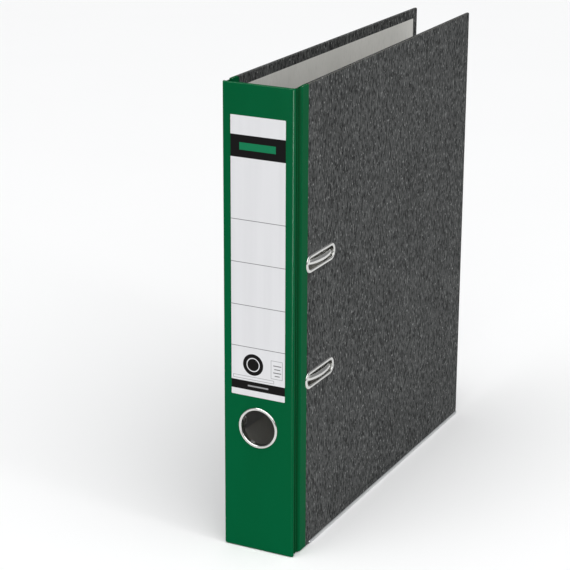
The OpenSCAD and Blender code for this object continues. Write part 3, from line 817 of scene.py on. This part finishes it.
def slot_fitting(name, side, node):
    """Rolled rim round a slot, outside and inside, on the wall that lines it."""
    w, t = 2.3, 0.7
    outer = [(0.0, HALF_W - 0.4), (0.05, HALF_W + 0.25), (0.25, HALF_W + 0.52), (0.6, HALF_W + t - 0.02),
             (1.0, HALF_W + t), (1.5, HALF_W + t - 0.05), (1.95, HALF_W + t - 0.22),
             (2.2, HALF_W + 0.22), (w, HALF_W + 0.02)]
    inner = [(q, INNER_X - (x - HALF_W)) for q, x in reversed(outer)]
    section = outer + [(0.65, HALF_W + 0.01), (0.6, HALF_W - 0.05), (0.6, INNER_X + 0.05),
                       (0.65, INNER_X - 0.01)] + inner
    rings = []
    outline = slot_outline(0.0, 16)
    n = len(outline)
    for k in range(n):
        a, b = outline[k]
        run = SLOT_L / 2 - SLOT_H / 2
        hub = Vector((run if k < n / 2 else -run, 0.0))
        out = (Vector((a, b)) - hub).normalized()
        rings.append([rest(x, SLOT_Y + a + out.x * q, MID + side * PITCH / 2 + b + out.y * q)
                      for q, x in section])
    verts, faces = swept(rings, closed_path=True)
    return finish(name, verts, faces, "nickel_plate", "front_cover", stands=(node,), sharp=70.0)


slot_fitting("slot_rim_upper", 1, "upper_slot_liner")
slot_fitting("slot_rim_lower", -1, "lower_slot_liner")


def edge_guard(name, sign, place, body, node):
    """Thin folded channel along the lower edge, with pinched lips and a cut-back end."""
    t = 0.34
    lip = 2.6
    outside = fillet([(HALF_W + 0.1, lip), (HALF_W + 0.38, lip - 0.5), (HALF_W + 0.4, 0.0),
                      (INNER_X - 0.4, 0.0), (INNER_X - 0.38, lip - 0.5), (INNER_X - 0.1, lip)],
                     [0.2, 0.7, 0.7, 0.2], 5)
    inside = fillet([(HALF_W + 0.02, lip - 0.02), (HALF_W + 0.04, lip - 0.6), (HALF_W + 0.06, t),
                     (INNER_X - 0.06, t), (INNER_X - 0.04, lip - 0.6), (INNER_X - 0.02, lip - 0.02)],
                    [0.1, 0.4, 0.4, 0.1], 5)
    section = outside + list(reversed(inside))
    rings = []
    for y, cut in [(24.0, 0.75), (24.25, 0.4), (24.8, 0.12), (25.6, 0.0)] + \
            [(y, 0.0) for y in levels(40.0, 270.0, 23.0)] + \
            [(283.6, 0.0), (284.5, 0.1), (284.85, 0.3), (285.0, 0.55)]:
        rings.append([place(sign * x, y, z if z < 1.0 else z - cut * (z - 1.0)) for x, z in section])
    verts, faces = swept(rings)
    return finish(name, verts, faces, "zinc_steel", body, stands=(node,), sharp=60.0)


edge_guard("edge_guard_front", 1, rest, "front_cover", "front_edge_guard")
edge_guard("edge_guard_back", -1, lean, "back_cover", "back_edge_guard")

# ---------------------------------------------------------------- ring mechanism


def arch_points(side):
    """Centre line of half the arch wire, from the middle of the crank to the post."""
    sx, sy = SHAFT
    cb, foot, bend, tip = CRANK_BEND, 5.0, 8.0, 3.0
    top, crown = 25.0, 45.0
    span, bends = POST_Y - sy, bend + tip
    ca = math.asin((span - bends) / (2 * crown - bends))
    leg = top - crown * (1 - math.cos(ca)) - bend * math.cos(ca)
    points = [(sx, CRANK_Y, z) for z in (0.0, 3.0, CRANK_HALF - 0.01)]
    points += [(sx, CRANK_Y - cb + a, CRANK_HALF + b) for a, b in arc(0, 0, cb, 0, 90, 8)]
    points += [(sx, (CRANK_Y + sy) / 2, CRANK_HALF + cb)]
    points += [(sx, sy + cb - a, CRANK_HALF + 2 * cb - b) for a, b in
               ((cb * math.sin(t), cb * math.cos(t)) for t in (math.pi / 2 * k / 8 for k in range(9)))]
    points += [(sx, sy, z) for z in levels(CRANK_HALF + 2 * cb + 1, PITCH / 2 - foot - 0.5, 5.0)]
    points += [(sx + foot - a, sy, PITCH / 2 - foot + b) for a, b in arc(0, 0, foot, 0, 90, 10)]
    points += [(x, sy, PITCH / 2) for x in levels(sx + foot + 1, leg - 0.5, 5.0)]
    a_end = math.pi / 2 - ca
    points += [(leg + bend * math.sin(t), sy + bend * (1 - math.cos(t)), PITCH / 2)
               for t in (a_end * k / 10 for k in range(11))]
    cx = top - crown
    cy = sy + bend * (1 - math.cos(a_end)) + crown * math.cos(a_end)
    points += [(cx + crown * math.sin(t), cy - crown * math.cos(t), PITCH / 2)
               for t in (a_end + (math.pi - 2 * a_end) * k / 16 for k in range(1, 16))]
    ex, ey = cx + crown * math.sin(math.pi - a_end), cy + crown * math.cos(a_end)
    hx, hy = ex - tip * math.sin(a_end), ey - tip * math.cos(a_end)
    points += [(hx + tip * math.sin(t), hy - tip * math.cos(t), PITCH / 2)
               for t in (math.pi - a_end + a_end * k / 8 for k in range(9))]
    return [(x, y, MID + side * z) for x, y, z in points]


def arch_wire():
    upper = arch_points(1)
    lower = arch_points(-1)
    line = list(reversed(lower)) + upper[1:]
    points = []
    for p in line:
        q = lean(*p)
        if not points or (q - points[-1]).length > 0.00025:
            points.append(q)
    ends = []
    for side in (-1, 1):
        z = MID + side * PITCH / 2
        ends.append([lean(POST_TOP + d, POST_Y, z) for d in (0.34, 0.3, 0.1, -0.3, -0.58)])
    size = [1.9, 1.55, 1.35, 0.85, 0.3]
    head = list(reversed(ends[0]))
    tail = ends[1]
    inner = [p for p in points if all((p - end[0]).length > 0.0003 for end in ends)]
    radii = [r / 1000 for r in list(reversed(size)) + [WIRE_R] * len(inner) + size]
    verts, faces = tube(head + inner + tail, radii, 24)
    return finish("arches", verts, faces, "nickel_plate", "arches", stands=("arch_wire",), sharp=55.0)


arch_wire()


def spring():
    """Torsion spring round the shaft."""
    r, turns, rise = 2.9, 5, 1.3
    z0 = MID - 21.5
    x, y = SHAFT
    points = [(x + r, y - 7, z0), (x + r, y - 4, z0), (x + r, y - 1.2, z0)]
    points += [(x + r * math.cos(t), y + r * math.sin(t), z0 + rise * t / (2 * math.pi))
               for t in (2 * math.pi * turns * k / (turns * 28) for k in range(turns * 28 + 1))]
    z1 = z0 + rise * turns
    points += [(x + r, y + 1.2, z1), (x + r, y + 4, z1), (x + r, y + 8, z1)]
    verts, faces = tube([lean(*p) for p in points], [0.00045] * len(points), 12)
    return finish("torsion_spring", verts, faces, "spring_steel", "back_cover",
                  stands=("arch_spring",), sharp=60.0)


spring()


def post(name, side, node):
    """Tube with a swaged foot and a dimple in its rounded end."""
    z0 = MID + side * PITCH / 2
    base = PLATE_TOP
    profile = [(0.0, base), (POST_R + 2.0, base), (POST_R + 2.0, base + 0.45), (POST_R + 1.8, base + 0.75),
               (POST_R + 0.9, base + 0.82), (POST_R + 0.35, base + 1.1), (POST_R, base + 1.9),
               (POST_R, POST_TOP - 0.8), (POST_R - 0.08, POST_TOP - 0.4), (POST_R - 0.3, POST_TOP - 0.1),
               (POST_R - 0.62, POST_TOP), (1.95, POST_TOP - 0.08), (1.0, POST_TOP - 0.62),
               (0.4, POST_TOP - 1.0), (0.0, POST_TOP - 1.15)]
    verts, faces = lathe(profile, lambda a, b, h: lean(h, POST_Y + a, z0 + b), 40)
    return finish(name, verts, faces, "nickel_plate", "back_cover", stands=(node,), sharp=60.0)


post("post_upper", 1, "upper_post")
post("post_lower", -1, "lower_post")


def rivets():
    """Four rivets with domed heads outside and upset ends on the base plate."""
    verts, faces = [], []
    for y in (21.0, 61.0):
        for z in (MID - 77, MID + 77):
            outside = -HALF_W
            profile = [(0.0, outside - 0.9)]
            profile += [(4.0 * math.sin(a), outside - 0.9 * math.cos(a) ** 0.8)
                        for a in (math.pi / 2 * k / 8 for k in range(1, 8))]
            profile += [(4.0, outside - 0.12), (3.95, outside), (1.9, outside), (1.9, PLATE_TOP),
                        (3.15, PLATE_TOP), (3.2, PLATE_TOP + 0.25), (2.9, PLATE_TOP + 0.6),
                        (2.2, PLATE_TOP + 0.82), (1.2, PLATE_TOP + 0.86), (0.8, PLATE_TOP + 0.6),
                        (0.0, PLATE_TOP + 0.55)]
            v, f = lathe(profile, lambda a, b, h: lean(h, y + a, z + b), 32)
            faces += [tuple(i + len(verts) for i in face) for face in f]
            verts += v
    return finish("rivets", verts, faces, "nickel_plate", "back_cover",
                  stands=("mechanism_rivets",), sharp=45.0)


rivets()

refined("base_plate", "mechanism_plate", 0.3, "zinc_steel", "back_cover", 3)
refined("shaft_lugs", "shaft_bearings", 0.25, "zinc_steel", "back_cover", 2)
refined("lever_bracket", "lever_ears", 0.22, "zinc_steel", "back_cover", 2)
refined("lever_pin", "lever_pivot", 0.2, "turned_steel", "back_cover", 2)
refined("lever", "lever_arm", 0.35, "nickel_plate", "lever", 3)
refined("roller_pin", "roller_axle", 0.2, "turned_steel", "lever", 2)
refined("roller", "roller_drum", 0.3, "turned_steel", "roller", 2)
refined("compressor_bar", "compressor_channel", 0.3, "nickel_plate", "compressor", 3)
refined("compressor_bushes", "compressor_guides", 0.25, "black_plastic", "compressor", 2)
refined("compressor_catch", "compressor_strip", 0.12, "spring_steel", "catch", 2)

for node in ("spine_board", "front_board", "back_board"):
    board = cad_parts[node]
    board.data.materials.clear()
    board.data.materials.append(MATS["greyboard"])

# ---------------------------------------------------------------- floor, light and camera


def stage_floor():
    """Plain white floor."""
    mesh = bpy.data.meshes.new("floor")
    reach = 6.0
    mesh.from_pydata([(-reach, -reach, 0), (reach, -reach, 0), (reach, reach, 0), (-reach, reach, 0)],
                     [], [(0, 1, 2, 3)])
    floor = bpy.data.objects.new("floor", mesh)
    bpy.context.scene.collection.objects.link(floor)
    n = Nodes("floor")
    n.colour(n.mix(n.noise(n.scaled(3, 3, 3), 1.0, 2.0), (0.92, 0.92, 0.92), (0.94, 0.94, 0.94)))
    n.set(roughness=0.7)
    mesh.materials.append(n.mat)


def area_light(name, place, target, size, power, onto=None):
    """A soft light. With onto it is a card, only seen in the reflections of those pieces."""
    light = bpy.data.lights.new(name, "AREA")
    light.shape = "RECTANGLE"
    light.size, light.size_y = size
    light.energy = power
    obj = bpy.data.objects.new(name, light)
    obj.location = place
    obj.rotation_euler = (Vector(target) - Vector(place)).to_track_quat("-Z", "Y").to_euler()
    bpy.context.scene.collection.objects.link(obj)
    if onto:
        obj.visible_camera = False
        obj.visible_diffuse = False
        group = bpy.data.collections.new(name + "_pieces")
        for piece in onto:
            group.objects.link(piece)
        obj.light_linking.receiver_collection = group


def pale_world():
    """Even pale light from all sides."""
    world = bpy.data.worlds.new("studio")
    world.use_nodes = True
    background = world.node_tree.nodes["Background"]
    background.inputs["Color"].default_value = (0.97, 0.985, 1.0, 1.0)
    background.inputs["Strength"].default_value = 0.3
    bpy.context.scene.world = world


def overhead_light():
    """A very wide light from above, a little from the front and the right."""
    light = bpy.data.lights.new("overhead", "SUN")
    light.energy = 2.75
    light.angle = math.radians(80)
    obj = bpy.data.objects.new("overhead", light)
    obj.rotation_euler = (math.radians(26), math.radians(12), 0)
    bpy.context.scene.collection.objects.link(obj)


def view_camera():
    """The photograph's view, for an image 570 pixels wide."""
    lens = bpy.data.cameras.new("camera")
    lens.sensor_width = 36.0
    lens.lens = 1958 / 570 * lens.sensor_width
    obj = bpy.data.objects.new("camera", lens)
    bpy.context.scene.collection.objects.link(obj)
    obj.location = rest(552, -1050, 587)
    heading, down, roll = (math.radians(a) for a in (26.90, 90 - 18.61, 0.23))
    turn = Matrix.Rotation(heading, 4, "Z") @ Matrix.Rotation(down, 4, "X")
    obj.rotation_euler = (turn @ Matrix.Rotation(roll, 4, "Z")).to_euler()
    bpy.context.scene.camera = obj


stage_floor()
pale_world()
overhead_light()
bpy.context.scene.view_settings.view_transform = "Standard"
area_light("key", (1.25, -0.35, 0.9), (0, -0.1, 0.16), (0.22, 0.9), 2.5)
area_light("fill", (-0.9, -1.3, 0.6), (0, 0, 0.16), (0.6, 0.9), 1.2)

# Cards that are seen in reflections only: on the film's rounded edges, and on the metals.
films = [front_film, back_film]
shiny = {MATS[slot] for slot in ("nickel_plate", "zinc_steel", "turned_steel", "spring_steel")}
metals = [obj for obj in bpy.data.objects if obj.type == "MESH" and shiny & set(obj.data.materials)]
area_light("edge_card", (0.215, -0.55, 0.19), (0.025, -0.142, 0.25), (0.28, 0.28), 68, films)
area_light("top_card", (-0.39, -0.42, 1.05), (0, -0.14, 0.318), (0.40, 0.40), 54, films)
area_light("sky_card", (0.2, -0.2, 1.5), (0.2, -0.2, 0.0), (1.6, 1.6), 6, metals)

view_camera()
